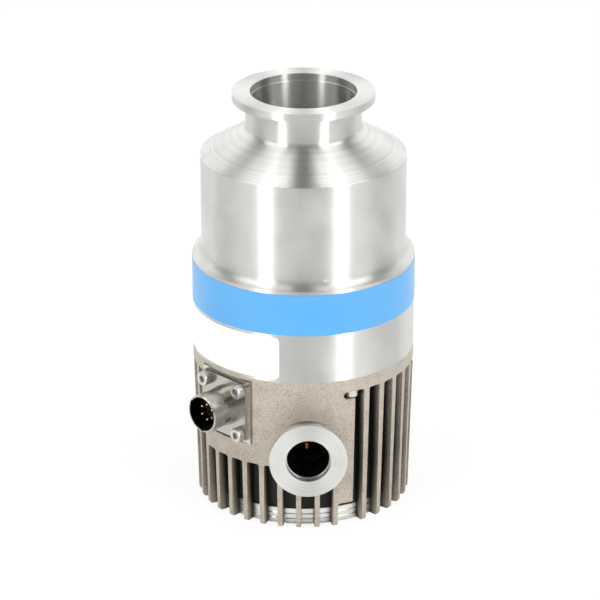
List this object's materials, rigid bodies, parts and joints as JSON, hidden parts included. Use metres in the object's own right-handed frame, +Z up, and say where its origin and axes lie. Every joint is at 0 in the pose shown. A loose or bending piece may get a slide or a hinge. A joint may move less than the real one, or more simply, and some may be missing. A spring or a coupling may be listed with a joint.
{
  "type": "turbomolecular pump",
  "caption": "Small turbomolecular pump with a clamp-ring inlet on top, a finned cast base, a side exhaust port and a round multi-pin connector.",
  "frame": {"origin": "centre of the base's bottom face, on the rotor's axis", "axes": "+Z up the rotor's axis to the inlet, -Y out of the exhaust port, +X to the right of the port"},
  "size_m": [0.0887, 0.0973, 0.1655],
  "materials": {
    "turned_aluminium": "turned, bright",
    "cast_aluminium": "sand cast and blasted",
    "rotor_aluminium": "milled",
    "stator_aluminium": "stamped",
    "steel": "ground",
    "stainless": "satin",
    "nickel": "nickel plated",
    "black_plastic": "moulded",
    "cage_plastic": "machined phenolic",
    "brass": "turned",
    "copper": "enamelled wire",
    "seal_rubber": "moulded"
  },
  "bodies": {
    "pump": {"base_housing": "cast_aluminium", "bottom_cover": "turned_aluminium", "cover_screws": "stainless", "cover_seal": "seal_rubber", "casing": "turned_aluminium", "casing_seal": "seal_rubber", "casing_screws": "stainless", "bearing_cartridge": "turned_aluminium", "cartridge_screws": "stainless", "lower_bearing_carrier": "turned_aluminium", "bearing_dampers": "seal_rubber", "upper_bearing_retainer": "turned_aluminium", "preload_spring": "steel", "motor_core": "steel", "motor_windings": "copper", "exhaust_port": "turned_aluminium", "exhaust_seal": "seal_rubber", "purge_nozzle": "brass", "connector_gasket": "seal_rubber", "connector_shell": "nickel", "connector_insert": "black_plastic", "connector_pins": "brass", "connector_screws": "stainless", "lower_bearing_outer_race": "steel", "upper_bearing_outer_race": "steel", "drag_stator_1": "stator_aluminium", "drag_stator_2": "stator_aluminium", "drag_stator_3": "stator_aluminium", "blade_stator_1": "stator_aluminium", "blade_stator_2": "stator_aluminium", "blade_stator_3": "stator_aluminium", "blade_stator_4": "stator_aluminium", "spacer_ring_1": "stator_aluminium", "spacer_ring_2": "stator_aluminium", "spacer_ring_3": "stator_aluminium", "spacer_ring_4": "stator_aluminium", "spacer_ring_5": "stator_aluminium", "spacer_ring_6": "stator_aluminium", "spacer_ring_7": "stator_aluminium"},
    "rotor_group": {"rotor": "rotor_aluminium", "shaft": "steel", "rotor_washer": "stainless", "rotor_nut": "stainless", "bearing_nut": "steel", "motor_magnet": "steel", "lower_bearing_inner_race": "steel", "upper_bearing_inner_race": "steel"},
    "lower_balls": {"lower_bearing_balls": "steel", "lower_bearing_cage": "cage_plastic"},
    "upper_balls": {"upper_bearing_balls": "steel", "upper_bearing_cage": "cage_plastic"}
  },
  "joints": [
    {"name": "rotor_spin", "type": "hinge", "parent": "pump", "child": "rotor_group", "pos_m": [0, 0, 0.1], "axis": [0, 0, 1], "continuous": true},
    {"name": "lower_cage_spin", "type": "hinge", "parent": "pump", "child": "lower_balls", "pos_m": [0, 0, 0.0147], "axis": [0, 0, 1], "continuous": true},
    {"name": "upper_cage_spin", "type": "hinge", "parent": "pump", "child": "upper_balls", "pos_m": [0, 0, 0.0835], "axis": [0, 0, 1], "continuous": true}
  ],
  "couplings": [
    {"joint": "lower_cage_spin", "follows": "rotor_spin", "ratio": 0.37},
    {"joint": "upper_cage_spin", "follows": "rotor_spin", "ratio": 0.37}
  ]
}
